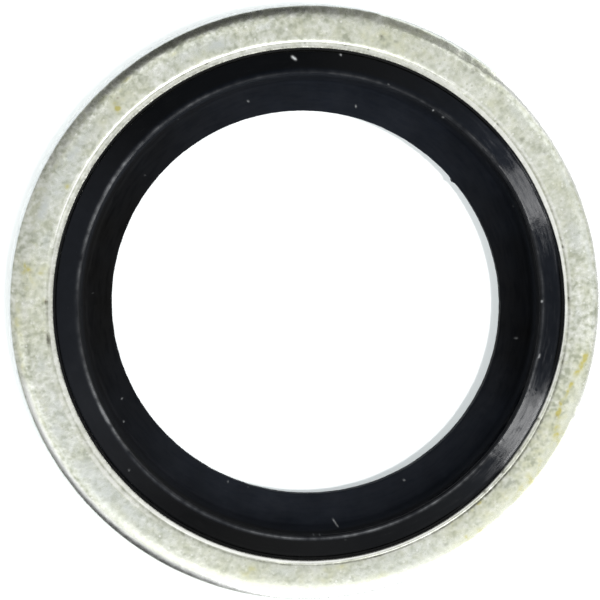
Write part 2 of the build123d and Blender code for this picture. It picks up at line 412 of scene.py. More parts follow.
# dark marks beside it, partly grime and partly painted shade in dents, chips and deeper stretches of the groove:
# azimuth, radius, half-length, half-width, strength
GRIME_AND_SHADE = [
    (137.0, 276.0, 1.9, 0.42, 0.11), (198.0, 265.5, 1.3, 0.24, 0.11), (222.0, 265.5, 1.3, 0.24, 0.12),
    (240.0, 265.5, 1.2, 0.22, 0.08), (255.0, 265.5, 1.4, 0.24, 0.09), (270.0, 265.5, 1.6, 0.26, 0.20),
    (286.0, 265.5, 1.6, 0.26, 0.15), (305.0, 266.5, 1.6, 0.32, 0.20), (318.0, 267.0, 1.4, 0.40, 0.18),
    (330.0, 266.5, 1.1, 0.32, 0.22), (352.0, 266.5, 1.0, 0.26, 0.12), (17.0, 273.0, 1.3, 0.25, 0.12),
    (66.0, 273.0, 1.0, 0.25, 0.07),
    (187.1, 262.4, 0.34, 0.080, 1.20), (185.4, 262.0, 0.10, 0.050, 0.60), (181.4, 262.0, 0.12, 0.05, 0.7), (179.0, 262.3, 0.16, 0.06, 0.9),
    (1.0, 261.5, 0.09, 0.05, 0.50), (12.5, 262.0, 0.08, 0.06, 0.40), (43.5, 261.5, 0.06, 0.05, 0.40),
    (77.0, 261.8, 0.07, 0.06, 0.45), (91.0, 260.8, 0.07, 0.06, 0.45), (82.3, 259.6, 0.06, 0.05, 0.35),
    (113.0, 257.6, 0.05, 0.04, 0.5), (251.0, 262.4, 0.09, 0.07, 0.45), (305.5, 261.6, 0.5, 0.05, 0.35),
    (319.0, 273.8, 0.07, 0.07, 0.50), (333.1, 259.4, 0.09, 0.11, 0.95), (338.6, 260.6, 0.12, 0.06, 0.5), (347.3, 259.8, 0.10, 0.09, 0.8),
    (74.9, 276.4, 0.09, 0.10, 0.75), (71.5, 275.8, 0.10, 0.06, 0.35), (54.8, 286.0, 0.15, 0.22, 0.42),
    (58.0, 293.0, 0.30, 0.10, 0.20), (86.0, 295.5, 1.3, 0.12, 0.36), (304.5, 262.0, 1.0, 0.05, 0.30), (313.0, 260.4, 0.16, 0.10, 0.95),
    (318.9, 259.8, 0.11, 0.11, 0.95), (324.7, 259.6, 0.16, 0.12, 0.95), (330.0, 260.6, 0.10, 0.06, 0.6), (32.6, 280.0, 0.10, 0.08, 0.25), (171.0, 289.0, 0.5, 0.05, 0.2),
]


def scatter(seed, count, inner, outer, sizes, depths):
    rng = np.random.default_rng(seed)
    az = rng.uniform(0, 360, count)
    px = np.sqrt(rng.uniform(inner**2, outer**2, count))
    return list(zip(az, px, rng.uniform(*sizes, count), rng.uniform(*depths, count)))


def shape_steel(th, r, z, nr, nz, upper):
    seed = 100 if upper else 500
    base = polar(th, r, z)
    bond = polar(th, np.full_like(th, 12.5), np.full_like(th, 3.0 if upper else -3.0))
    face = np.abs(nz) * np.where(r > 12.3, 1.0, 0.0)
    side = 1.0 if upper else -1.0
    # the face drops slowly towards its outer edge
    fade = smooth(0.25, 0.75, np.abs(z))
    at = np.linspace(12.9, 14.3, 281)
    fall = np.clip((at - 12.95) / 0.45, 0, 1) * 0.045 * (1 - smooth(13.7, 14.15, at))
    crown = np.interp(r, at, -np.cumsum(fall) * (at[1] - at[0])) * fade
    # the groove wanders, and is deeper in some places than in others
    wander = 0.009 * noise(bond, 1.1, seed + 1) + 0.004 * noise(bond, 0.35, seed + 2)
    if upper:
        wander = wander - 0.028 * window((np.degrees(th) + 30) % 360, 32, 92, 12)
    near = window(r, 12.33, 12.60, 0.07) * fade
    r = r + wander * near
    depth = 0.18 * noise(bond, 0.9, seed + 3) + 0.14 * noise(bond, 0.28, seed + 4)
    marks_on = (lambda a: a) if upper else (lambda a: (a * 1.7 + 61) % 360)
    for az, half, amount in GROOVE:
        d = (th - math.radians(marks_on(az)) + math.pi) % (2 * math.pi) - math.pi
        depth = depth + amount * np.exp(-((d * 12.55 / half) ** 4))
    depth = np.clip(depth, -0.95, 1.5)
    plain = r - wander * near
    r = r + meet(th, z) * (1 - smooth(12.45, 13.1, plain)) * np.where(r < 14, 1.0, 0.0)
    r = r + lap(th, z) * (1 - smooth(12.28, 12.44, plain))
    left = np.clip((GROOVE_OUT_D / 2 - plain) / ((GROOVE_OUT_D - GROOVE_BOTTOM_D) / 2), 0, 1)
    within = plain < GROOVE_BOTTOM_D / 2
    across = np.where(
        within,
        np.clip((plain - GROOVE_IN_D / 2) / ((GROOVE_BOTTOM_D - GROOVE_IN_D) / 2), 0, 1),
        left**RISE,
    )
    if upper:
        r = r - 0.105 * smooth(13.7, 14.1, r) * window(np.degrees(th) % 360, 58, 68, 12) * fade
    dz = crown - depth * GROOVE_DEPTH * across
    # round a third of the ring the lip was struck lower, and the rise is one broad slope
    deg = np.degrees(th) % 360
    struck = window(deg if upper else (deg + 140) % 360, 70, 168, 24)
    dz = dz - struck * fade * np.where(within, 0.017, 0.047 * left**1.5 - 0.030 * left**RISE)
    # chips and waves along the bead
    bead = (1 - smooth(12.36, 12.46, r)) * fade
    for az, half, deep in CHIPS:
        d = (th - math.radians(marks_on(az)) + math.pi) % (2 * math.pi) - math.pi
        dz = dz - deep * bead * np.exp(-((d * 12.35 / half) ** 2))
    dz = dz - 0.003 * bead * (1 + noise(bond, 0.5, seed + 5) + 0.5 * noise(bond, 0.2, seed + 6))
    # soft waves and dents from tumbling, finer grain from the plating
    satin_and_sheen = np.zeros_like(th)
    for az, px, along, wide, amount in SATIN:
        satin_and_sheen = np.maximum(satin_and_sheen, amount * spot(th, r, marks_on(az), px, along, wide))
    satin_and_sheen = np.clip(satin_and_sheen * (1 + 0.5 * noise(base, 0.5, seed + 7)), 0, 1)
    h = 0.0040 * noise(base, 1.6, seed + 8) + 0.0022 * noise(base, 0.7, seed + 9)
    grain = 0.0022 * noise(base, 0.30, seed + 10) + 0.0008 * noise(base, 0.17, seed + 11)
    worn_edge = 0.45 + 0.40 * np.cos(th - math.radians(320))
    h = h + grain * (1 - 0.75 * satin_and_sheen) * (1 - worn_edge * window(r, 13.6, 14.4, 0.25))
    h = h * (1 - 0.6 * bead)
    # the rounded outer edge is a little battered
    edge = window(r, 13.95, 14.4, 0.2) * fade
    h = h - edge * 0.003 * np.clip(fractal(base, 0.6, seed + 12) + 0.15, 0, None) * 2
    for k, (az, px, size, deep) in enumerate(
        (PITS if upper else [])
        + scatter(seed + 13, 90 if upper else 150, 264, 290, (0.04, 0.09), (0.002, 0.010))
    ):
        s = spot(th, r, az, px, size, size)
        h = h - deep * s * face * (nz * side > 0)
    # the upright side: fine upright score marks, and a broken band along its lower part
    wall = (np.abs(nr) > 0.85) * (r > 14)
    score = polar(th, np.full_like(th, 14.3), base[:, 2] * 0.06)
    h = h - wall * 0.0035 * (1 + noise(score, 0.12, seed + 14) + 0.6 * noise(score, 0.3, seed + 15))
    torn = smooth(0.05, 0.25, -(z + 0.05 * noise(bond, 0.8, 91))) * wall
    h = h - torn * 0.006 * (1 + noise(base, 0.14, seed + 16))
    h = np.where((r > 14) & (np.abs(nr) > 0.3), np.minimum(h, 0), h)
    h = h * np.where(plain < 12.275, 0.0, 1.0)
    nx = nr * np.cos(th)
    ny = nr * np.sin(th)
    x = r * np.cos(th) + h * nx
    y = r * np.sin(th) + h * ny
    zz = z + dz * side + h * nz
    out = np.hypot(x, y)
    over = np.clip(out / OUTER_R, 1.0, None)
    pos = np.stack([x / over, y / over, zz + HALF_H], 1)

    marks = np.zeros((len(th), 4))
    blot = 0.75 + 0.6 * noise(base, 0.35, seed + 20)
    if upper:
        lists = ((0, YELLOW), (3, BROWN))
    else:
        rng = np.random.default_rng(77)
        lists = (
            (0, [(rng.uniform(0, 360), rng.uniform(262, 290), rng.uniform(0.2, 0.6),
                  rng.uniform(0.08, 0.3), rng.uniform(0.3, 0.9)) for _ in range(34)]),
            (3, [(rng.uniform(0, 360), rng.uniform(262, 290), 0.08, 0.07,
                  rng.uniform(0.2, 0.6)) for _ in range(6)]),
        )
    for channel, spots in lists:
        for az, px, along, wide, amount in spots:
            s = amount * spot(th, r, az, px, along, wide)
            marks[:, channel] = np.maximum(marks[:, channel], s)
    marks[:, 0] *= np.clip(blot, 0, 1.3)
    marks[:, 2] = satin_and_sheen
    # painted highlights: on the lip beside the rubber, beside the groove, and on the rolled edge and the side towards
    # the lamps
    turned = deg if upper else (deg * 2 + 75) % 360
    painted_bead_highlight = np.interp(turned, [a for a, v, w in ROUND], [w for a, v, w in ROUND])
    marks[:, 2] = np.where(plain < 12.52, painted_bead_highlight, marks[:, 2])
    crown_line = 0.30 * window((turned + 30) % 360, 36, 85, 8) * window(plain, 12.600, 12.665, 0.05)
    broad_line = window(turned, 62, 158, 12) * window(plain, 12.550, 12.600, 0.045)
    crown_line = np.maximum(crown_line, 0.9 * broad_line)
    marks[:, 2] = np.where((plain >= 12.52) & (plain < 12.75), np.maximum(satin_and_sheen * (1 - crown_line), crown_line), marks[:, 2])
    rolled = 1 - window(turned, 54, 190, 10)
    marks[:, 2] = np.where(r > 13.76, rolled, marks[:, 2])
    painted_edge_highlight = smooth(0.12, 0.42, np.cos(th - math.radians(337 if upper else 200)))
    marks[:, 2] = np.where(r > 14.17, painted_edge_highlight, marks[:, 2])
    # painted shade in the groove, with some grime, more in some places than in others and more where it is cut deeper
    turned = deg if upper else (deg * 2 + 75) % 360
    line = np.interp(turned, [a for a, v, w in ROUND], [v for a, v, w in ROUND])
    line = line * (1 + 0.30 * noise(bond, 1.5, seed + 40) + 0.25 * noise(bond, 0.4, seed + 41))
    off = plain - GROOVE_BOTTOM_D / 2 - 0.022
    trough = np.exp(-((off / np.where(off < 0, 0.084, 0.068)) ** 2))
    grime_and_shade = np.clip(depth, 0, 1.3) * across * 0.40 + np.clip(line, 0, 1) * trough
    # and painted shade along the rubber, where the two parts meet under its skin
    along = 0.62 * (1 - smooth(12.300, 12.410, plain)) * (1 - struck)
    along = along + 0.62 * (1 - smooth(12.33, 12.47, plain)) * struck
    grime_and_shade = np.maximum(grime_and_shade, along * (1 + 0.25 * noise(bond, 0.5, seed + 42)))
    # the rolled edge is painted darker in blotches on the side away from the lamps: painted shade for the dim
    # surroundings it mirrors there, with stains
    rolled = window(r, 13.93, 14.26, 0.07) * window(turned, 58, 148, 10)
    blotch = 0.16 + 0.45 * noise(base, 0.55, seed + 43) + 0.35 * noise(base, 0.25, seed + 44)
    blotch = blotch + 0.16 * window(turned, 68, 92, 8)
    grime_and_shade = np.maximum(grime_and_shade, np.clip(rolled * blotch, 0, 0.6))
    for az, px, along, wide, amount in GRIME_AND_SHADE if upper else []:
        grime_and_shade = np.maximum(grime_and_shade, amount * spot(th, r, az, px, along, wide))
    # painted shade in the pits
    for az, px, size, deep in PITS if upper else []:
        if deep > 0:
            grime_and_shade = np.maximum(grime_and_shade, min(1.0, deep / 0.03) * 0.7 * spot(th, r, az, px, size, size))
    marks[:, 1] = grime_and_shade * (np.abs(nz) > 0.3)
    return pos, np.clip(marks, 0, 1)


# ---- rubber seal -----------------------------------------------------------
NIBS = [(39.5, 0.10, 0.09)]  # azimuth, half-width, how far it stands into the bore
# pale specks of lint and dust: x, y in the units of the marks' radii, size, strength
SPECKS = [
    (31.6, 249.6, 0.055, 1.0), (-59.3, 202.6, 0.055, 0.9),
    (-162.0, 128.6, 0.045, 0.55), (49.0, 198.0, 0.05, 0.8), (79.0, 220.6, 0.045, 0.7),
    (124.0, 194.6, 0.05, 0.85), (134.0, 187.6, 0.05, 0.75), (-186.3, -94.3, 0.050, 0.8),
    (-184.8, -117.6, 0.055, 0.85), (-181.5, -164.6, 0.050, 0.7), (-80.4, -179.9, 0.045, 0.65),
    (210.7, -37.2, 0.055, 0.90), (232.8, 1.9, 0.060, 0.95),
    (97.3, -178.6, 0.055, 0.85), (4.0, -230.4, 0.05, 0.4), (10.0, -230.4, 0.05, 0.4),
    (-60.0, -186.0, 0.035, 0.4), (205.0, 96.0, 0.035, 0.45), (-215.0, 12.0, 0.035, 0.4),
    (-130.0, 185.0, 0.035, 0.4), (36.0, -236.0, 0.04, 0.4),
]
FIBRES = [  # x, y, x, y, half-width, strength
    (-16.8, 247.4, -14.0, 245.4, 0.070, 1.15), (229.5, -54.2, 230.3, -51.2, 0.050, 0.80),
    (26.0, -218.4, 29.6, -224.0, 0.040, 0.75),
    (198.6, -156.5, 212.8, -136.5, 0.040, 0.17), (212.8, -136.5, 224.5, -116.8, 0.040, 0.14),
    (201.0, -141.0, 213.0, -113.0, 0.045, 0.030), (206.0, -147.0, 214.0, -134.0, 0.040, 0.030),
    (219.0, -123.0, 226.0, -108.0, 0.045, 0.040), (194.0, -140.0, 200.0, -131.0, 0.040, 0.025),
]
# where the crest is painted lighter, as highlights along it: azimuth, half-width in degrees, amount
CREST_SHEEN = [
    (145, 9, 0.72), (159, 9, 0.46), (207, 6, 1.20), (214, 4, 0.6), (198, 4, 0.4), (132, 7, 0.40),
    (119, 8, 0.26), (102, 8, 0.10), (76, 12, 0.14), (171, 6, 0.25), (240, 11, 0.14),
    (262, 14, 0.06), (284, 13, 0.06), (304, 11, 0.04), (60, 9, 0.10), (40, 12, 0.10), (190, 7, 0.22),
]
# and painted highlights along its outer shoulder
SHOULDER_SHEEN = [
    (240, 9, 0.42), (262, 12, 0.55), (284, 12, 0.80), (305, 11, 0.70), (324, 12, 0.36), (344, 10, 0.28),
    (0, 9, 0.22), (20, 12, 0.18), (44, 14, 0.22), (226, 8, 0.2),
]
# painted light and shade: stretches where the lip's flanks are painted paler or darker by how they face the lamps:
# azimuth, half-width, amount
FLANK = [(86, 34, 0.42), (142, 36, 0.46)]  # the inner flank, over an even -0.29
SHADE = [  # the outer flank, over an even 1
    (36, 26, 0.80), (318, 20, 1.05), (82, 14, -0.30), (138, 12, -0.42), (232, 20, -0.60), (258, 16, -0.55),
]
SMEARS = [  # dull, handled patches: azimuth, radius, half-length, half-width, strength
    (328.5, 244.5, 0.22, 0.16, 1.0), (324.0, 247.0, 0.30, 0.07, 0.8), (332.5, 241.0, 0.35, 0.08, 0.7),
    (326.0, 240.0, 0.5, 0.06, 0.6), (335.0, 247.0, 0.4, 0.10, 0.5), (20.0, 248.0, 0.5, 0.12, 0.5),
    (29.0, 241.0, 0.5, 0.14, 0.6), (14.0, 243.0, 0.4, 0.12, 0.4), (336.0, 208.0, 1.6, 0.40, 0.35), (26.0, 243.0, 0.9, 0.3, 0.3),
    (200.0, 206.0, 1.6, 0.4, 0.15), (120.0, 205.0, 2.0, 0.4, 0.15), (262.0, 205.0, 2.0, 0.4, 0.2),
]


def shape_rubber(th, r, z, nr, nz, upper):
    seed = 900 if upper else 1300
    base = polar(th, r, z)
    side = 1.0 if upper else -1.0
    line = polar(th, np.full_like(th, 11.2), np.full_like(th, 3.0 if upper else -3.0))
    edge = polar(th, np.full_like(th, 9.3), np.zeros_like(th))
    inside = smooth(12.27, 12.1, r)
    # slow unevenness of the moulding
    h = (0.0045 * noise(base, 1.8, seed + 1) + 0.0022 * noise(base, 0.7, seed + 2)) * inside
    h = h + 0.0005 * noise(base, 0.22, seed + 3) * inside
    # the crest is never quite even
    on_crest = np.exp(-(((r - CREST_D / 2) / 0.14) ** 2)) * smooth(1.0, 1.4, np.abs(z))
    low = 0.010 + 0.007 * noise(line, 1.2, seed + 4) + 0.007 * noise(line, 0.32, seed + 5)
    dz = -np.clip(low, 0, None) * on_crest
    dr = (0.010 * noise(line, 1.0, seed + 6) + 0.006 * noise(line, 0.28, seed + 7)) * on_crest
    # the bore is not quite round, and its edge is slightly ragged
    at_bore = 1 - smooth(9.27, 10.4, r)
    for times, size, az in ((0, 0.018, 0), (1, 0.030, 229), (2, 0.124, 152), (3, 0.017, 100)):
        dr = dr + size * at_bore * np.cos(times * (th - math.radians(az)))
    crest = smooth(10.2, 10.9, r) * (1 - smooth(11.3, 12.22, r))
    for times, size, az in ((0, -0.016, 0), (1, 0.034, 345), (1, -0.016, 100), (2, -0.048, 47)):
        dr = dr + size * crest * np.cos(times * (th - math.radians(az)))
    for az, half, size in ((27, 12, 0.085), (330, 14, 0.045)):
        d = (np.degrees(th) - az + 180) % 360 - 180
        dr = dr + size * crest * np.exp(-((d / half) ** 2))
    lip = 1 - smooth(9.29, 9.45, r)
    dr = dr + lip * (0.008 * noise(edge, 0.6, 931) + 0.007 * noise(edge, 0.2, 932))
    for az, half, out in NIBS:
        d = (th - math.radians(az) + math.pi) % (2 * math.pi) - math.pi
        dr = dr - out * lip * np.exp(-((d * 9.3 / half) ** 2))
    # a thin ragged skin of rubber where it meets the steel
    skin = window(r, 12.18, 12.30, 0.06) * smooth(0.7, 0.9, np.abs(z)) * (nz * side > 0.2)
    creep = 0.010 + 0.014 * noise(line, 0.5, seed + 8) + 0.012 * noise(line, 0.2, seed + 9)
    if upper:
        creep = creep + 0.05 * window(np.degrees(th) % 360, 322, 336, 4)
        creep = creep - 0.010 * window(np.degrees(th) % 360, 66, 152, 14)
    # and a sunken line just inside that, filled only where the seal was handled
    open_line = 1 - window((np.degrees(th) + 90) % 360, 45, 125, 18)
    dz = dz + skin * creep * (0.15 + 0.85 * open_line)
    deg = np.degrees(th) % 360
    gap = 1 - 0.95 * window(deg, 309, 342, 6) - 0.80 * window(deg, 12, 38, 7)
    sunk = np.exp(-(((r - 12.180) / 0.044) ** 2)) * gap
    dz = dz - 0.075 * sunk * smooth(0.7, 0.9, np.abs(z)) * (nz * side > 0.2)
    sunk = np.exp(-(((r - 12.180) / 0.056) ** 2)) * gap
    speck = np.zeros_like(th)
    smear = np.zeros_like(th)
    if upper:
        x, y = r * np.cos(th), r * np.sin(th)
        for sx, sy, size, amount in SPECKS:
            d2 = (x - sx * PX) ** 2 + (y - sy * PX) ** 2
            speck = np.maximum(speck, amount * np.exp(-d2 / size**2))
        for x0, y0, x1, y1, wide, amount in FIBRES:
            a, b = np.array([x0, y0]) * PX, np.array([x1, y1]) * PX
            t = ((x - a[0]) * (b - a)[0] + (y - a[1]) * (b - a)[1]) / ((b - a) @ (b - a))
            t = np.clip(t, 0, 1)
            d2 = (x - a[0] - t * (b - a)[0]) ** 2 + (y - a[1] - t * (b - a)[1]) ** 2
            speck = np.maximum(speck, amount * np.exp(-d2 / wide**2))
        for az, px, along, wide, amount in SMEARS:
            smear = np.maximum(smear, amount * spot(th, r, az, px, along, wide))
    else:
        for az, px, size, amount in scatter(1777, 26, 196, 250, (0.03, 0.06), (0.3, 0.8)):
            speck = np.maximum(speck, amount * spot(th, r, az, px, size, size))
        for az, px, size, amount in scatter(1778, 9, 200, 250, (0.3, 0.9), (0.2, 0.6)):
            smear = np.maximum(smear, amount * spot(th, r, az, px, size * 1.6, size * 0.4))
    h = h + 0.012 * speck
    dr = dr + meet(th, z) * smooth(11.3, 12.22, r) + lap(th, z) * smooth(12.0, 12.22, r)
    rr = r + dr
    pos = polar(th, rr + h * nr, z + dz * side + h * nz)
    bonded = r > BOND_R - 1e-6
    pos[bonded] = polar(th, BOND_R - 0.002 + meet(th, z) + lap(th, z), z + dz * side)[bonded]
    pos[:, 2] = np.clip(pos[:, 2] + HALF_H, 0.0, 2 * HALF_H)
    marks = np.zeros((len(th), 4))
    marks[:, 0] = speck * (np.abs(nz) > 0.1)
    marks[:, 1] = smear
    # painted highlights along the crest and its shoulder
    for painted_sheen, out, wide in ((CREST_SHEEN, -0.004, 0.058), (SHOULDER_SHEEN, 0.072, 0.040)):
        wear_and_sheen = np.full_like(th, 0.05)
        for az, half, amount in painted_sheen:
            d = (np.degrees(th) - (az if upper else az * 1.3 + 40) + 180) % 360 - 180
            wear_and_sheen = np.maximum(wear_and_sheen, amount * np.exp(-((d / half) ** 2)))
        rubs = 1 + 0.5 * noise(line, 0.8, seed + 33) + 0.9 * noise(line, 0.30, seed + 34)
        wear_and_sheen = wear_and_sheen * np.clip(rubs, 0.1, None)
        wear_and_sheen = wear_and_sheen * np.exp(-(((r - CREST_D / 2 - out) / wide) ** 2)) * (np.abs(z) > 1)
        marks[:, 2] = np.maximum(marks[:, 2], wear_and_sheen)
    # a painted highlight on the skin against the steel, carrying the flank's highlights up to the steel
    painted_foot_highlight = 0.30 * window(np.degrees(th) % 360, 321, 338, 3) + 0.12 * window(np.degrees(th) % 360, 19, 31, 4)
    painted_foot_highlight = painted_foot_highlight * window(r, 12.12, 12.26, 0.05) * (1 if upper else 0)
    marks[:, 2] = np.maximum(marks[:, 2], painted_foot_highlight * (1 + 0.4 * noise(line, 0.3, seed + 35)))
    # painted light and shade: the web lighter and darker round the ring for the shading of its uneven face, with some
    # random tone and a painted reflection near azimuth 324; the flanks paler or darker by how they face the lamps
    web = smooth(10.95, 10.80, r)
    inner = window(r, 10.95, 11.12, 0.05)
    tone_and_shading = 0.47 + web * 0.36 * np.cos(2 * (th - math.radians(80)))
    tone_and_shading = tone_and_shading + web * 0.10 * noise(base, 1.3, seed + 30) - web * 0.05 * (1 + np.cos(th - 3))
    tone_and_shading = tone_and_shading + inner * (around(deg, FLANK) - 0.29)
    tone_and_shading = tone_and_shading + 0.47 * window(r, 11.33, 12.10, 0.05) * (around(deg, SHADE) if upper else 0)
    d = (np.degrees(th) + 36 + 180) % 360 - 180
    tone_and_shading = tone_and_shading + web * 0.24 * np.exp(-((d / 18) ** 2))
    # and painted shade in the sunken line against the steel
    marks[:, 3] = tone_and_shading * (1 - 0.95 * np.clip(1.3 * sunk, 0, 1))
    return pos, np.clip(marks, 0, 1)


# ---- node helpers ----------------------------------------------------------
def put(tree, kind, inputs=None, **props):
    n = tree.nodes.new(kind)
    for k, v in props.items():
        setattr(n, k, v)
    for k, v in (inputs or {}).items():
        if isinstance(v, bpy.types.NodeSocket):
            tree.links.new(v, n.inputs[k])
        else:
            n.inputs[k].default_value = v
    return n


def calc(tree, op, *args, clamp=False):
    n = put(tree, "ShaderNodeMath", dict(enumerate(args)), operation=op, use_clamp=clamp)
    return n.outputs[0]


def ramp(tree, fac, stops, interpolation="LINEAR"):
    n = put(tree, "ShaderNodeValToRGB", {"Fac": fac})
    cr = n.color_ramp
    cr.interpolation = interpolation
    while len(cr.elements) < len(stops):
        cr.elements.new(0.5)
    for e, (at, col) in zip(cr.elements, stops):
        e.position = at
        e.color = (*col, 1) if len(col) == 3 else col
    return n.outputs["Color"]


def spread(tree, value, a, b, c=0.0, d=1.0):
    """Maps value from a..b to c..d, clamped."""
    n = put(
        tree,
        "ShaderNodeMapRange",
        {"Value": value, "From Min": a, "From Max": b, "To Min": c, "To Max": d},
    )
    return n.outputs["Result"]


def blend(tree, fac, a, b, kind="MIX"):
    n = tree.nodes.new("ShaderNodeMix")
    n.data_type = "RGBA"
    n.blend_type = kind
    n.clamp_factor = True
    for socket, v in ((n.inputs[0], fac), (n.inputs[6], a), (n.inputs[7], b)):
        if isinstance(v, bpy.types.NodeSocket):
            tree.links.new(v, socket)
        elif isinstance(v, (int, float)):
            socket.default_value = v
        else:
            socket.default_value = (*v, 1)
    return n.outputs[2]


def start(name):
    mat = bpy.data.materials.new(name)
    mat.use_nodes = True
    tree = mat.node_tree
    tree.nodes.clear()
    out = tree.nodes.new("ShaderNodeOutputMaterial")
    bsdf = tree.nodes.new("ShaderNodeBsdfPrincipled")
    tree.links.new(bsdf.outputs[0], out.inputs["Surface"])
    place = put(tree, "ShaderNodeTexCoord")
    mm = put(
        tree,
        "ShaderNodeVectorMath",
        {0: place.outputs["Object"], "Scale": 1000.0},
        operation="SCALE",
    ).outputs[0]
    return mat, tree, bsdf, mm


def grain(tree, at, scale, detail=2.0, rough=0.5, distort=0.0):
    return put(
        tree,
        "ShaderNodeTexNoise",
        {"Vector": at, "Scale": scale, "Detail": detail, "Roughness": rough, "Distortion": distort},
    ).outputs["Fac"]


# ---- zinc-plated steel -----------------------------------------------------
def steel_material():
    mat, t, bsdf, mm = start("zinc_plated_steel")
    marks = put(t, "ShaderNodeAttribute", attribute_name="marks")
    rgb = put(t, "ShaderNodeSeparateColor", {"Color": marks.outputs["Color"]})
    yellow, grime_and_shade, satin_and_sheen = rgb.outputs[0], rgb.outputs[1], rgb.outputs[2]
    brown = marks.outputs["Alpha"]
    broad = grain(t, mm, 0.75, 3.0, 0.55)
    patchy = grain(t, mm, 1.9, 2.0, 0.5, 0.3)
    mid = grain(t, mm, 4.1, 1.3, 0.42, 0.2)
    fine = grain(t, mm, 9.0, 1.3, 0.50)
    # the tumbled grain is crisper on one side of the ring
    around = put(t, "ShaderNodeVectorMath", {0: mm}, operation="NORMALIZE").outputs[0]
    around = put(t, "ShaderNodeVectorMath", {0: around, 1: (0.91, -0.42, 0.0)}, operation="DOT_PRODUCT")
    crisp = spread(t, around.outputs["Value"], 0.60, 0.97, 0.84, 1.30)
    cells = put(
        t, "ShaderNodeTexVoronoi", {"Vector": mm, "Scale": 4.6, "Randomness": 1.0}, feature="F1"
    )
    cell = put(t, "ShaderNodeSeparateColor", {"Color": cells.outputs["Color"]}).outputs[0]
    # plating tone: olive in the hollows, silver on the high spots
    # and soft along two stretches
    low = put(t, "ShaderNodeVectorMath", {0: mm}, operation="NORMALIZE").outputs[0]
    soft = []
    for x, y, amount in ((0.05, -0.998, 0.32), (0.70, 0.71, 0.24)):
        toward = put(t, "ShaderNodeVectorMath", {0: low, 1: (x, y, 0.0)}, operation="DOT_PRODUCT")
        soft.append(spread(t, toward.outputs["Value"], 0.70, 0.92, 0.0, amount))
    quiet = calc(t, "SUBTRACT", calc(t, "SUBTRACT", 1.0, soft[0]), soft[1])
    crisp = calc(t, "MULTIPLY", crisp, quiet)
    patchy = calc(t, "MULTIPLY", calc(t, "SUBTRACT", patchy, 0.5), quiet)
    patchy = calc(t, "ADD", patchy, 0.5)
    tone = calc(t, "MULTIPLY", calc(t, "SUBTRACT", mid, 0.5), crisp)
    tone = calc(t, "MULTIPLY", calc(t, "ADD", tone, 0.5), 0.70)
    tone = calc(t, "ADD", tone, calc(t, "MULTIPLY", fine, 0.05))
    tone = calc(t, "ADD", tone, calc(t, "MULTIPLY", patchy, 0.50))
    tone = calc(t, "ADD", tone, calc(t, "MULTIPLY", broad, 0.14))
    tone = calc(t, "SUBTRACT", tone, 0.246)
    tone = calc(t, "ADD", tone, calc(t, "MULTIPLY", cell, 0.06))
    base = ramp(
        t,
        tone,
        [
            (0.28, (0.36, 0.382, 0.305)),
            (0.42, (0.53, 0.552, 0.470)),
            (0.52, (0.63, 0.650, 0.580)),
            (0.72, (0.80, 0.815, 0.765)),
        ],
    )
    # small dull spots, and a few painted glints
    near = spread(t, cells.outputs["Distance"], 0.16, 0.34, 1.0, 0.0)
    spots = calc(t, "MULTIPLY", near, spread(t, cell, 0.55, 0.75, 0.0, 0.50), clamp=True)
    base = blend(t, spots, base, (0.41, 0.43, 0.34))
    glints = calc(t, "MULTIPLY", near, spread(t, cell, 0.06, 0.16, 0.65, 0.0), clamp=True)
    base = blend(t, glints, base, (0.86, 0.87, 0.84))
    # a faint yellow-green passivation film, thicker here and there
    film = spread(t, grain(t, mm, 1.6, 4.0, 0.6, 0.6), 0.48, 0.72, 0.0, 0.40)
    base = blend(t, film, base, (0.60, 0.61, 0.45))
    radius = put(t, "ShaderNodeVectorMath", {0: mm, 1: (1.0, 1.0, 0.0)}, operation="MULTIPLY")
    radius = put(t, "ShaderNodeVectorMath", {0: radius.outputs[0]}, operation="LENGTH")
    radius = radius.outputs["Value"]
    on_face = calc(
        t, "MULTIPLY", spread(t, radius, 12.70, 12.78, 0.0, 1.0), spread(t, radius, 13.66, 13.80, 1.0, 0.0)
    )
    patch = calc(t, "MULTIPLY", satin_and_sheen, spread(t, mid, 0.25, 0.6, 0.6, 1.0), clamp=True)
    patch = calc(t, "MULTIPLY", patch, on_face)
    base = blend(t, patch, base, (0.57, 0.605, 0.585))
    # a painted sheen: the outer rim is painted an even, lighter tone on the side towards the lamps
    side = put(t, "ShaderNodeVectorMath", {0: mm, 1: (0.259, -0.966, 0.0)}, operation="DOT_PRODUCT")
    side = spread(t, calc(t, "DIVIDE", side.outputs["Value"], radius), 0.42, 0.60, 0.0, 1.0)
    painted_sheen = calc(t, "MULTIPLY", side, spread(t, radius, 13.36, 13.62, 0.0, 0.72))
    base = blend(t, painted_sheen, base, (0.665, 0.685, 0.610))
    stain = calc(t, "MULTIPLY", yellow, spread(t, mid, 0.30, 0.62, 0.45, 1.25), clamp=True)
    tint = ramp(t, stain, [(0.25, (0.52, 0.53, 0.29)), (0.85, (0.48, 0.445, 0.16))])
    base = blend(t, stain, base, tint)
    rust = calc(t, "MULTIPLY", brown, spread(t, fine, 0.3, 0.6, 0.5, 1.2), clamp=True)
    base = blend(t, rust, base, (0.20, 0.13, 0.05))
    # grime, and painted shade in the groove, pits, dents and where the parts meet
    dirt_and_shade = calc(t, "MULTIPLY", grime_and_shade, spread(t, fine, 0.3, 0.6, 0.6, 1.1), clamp=True)
    base = blend(t, dirt_and_shade, base, (0.16, 0.16, 0.13))
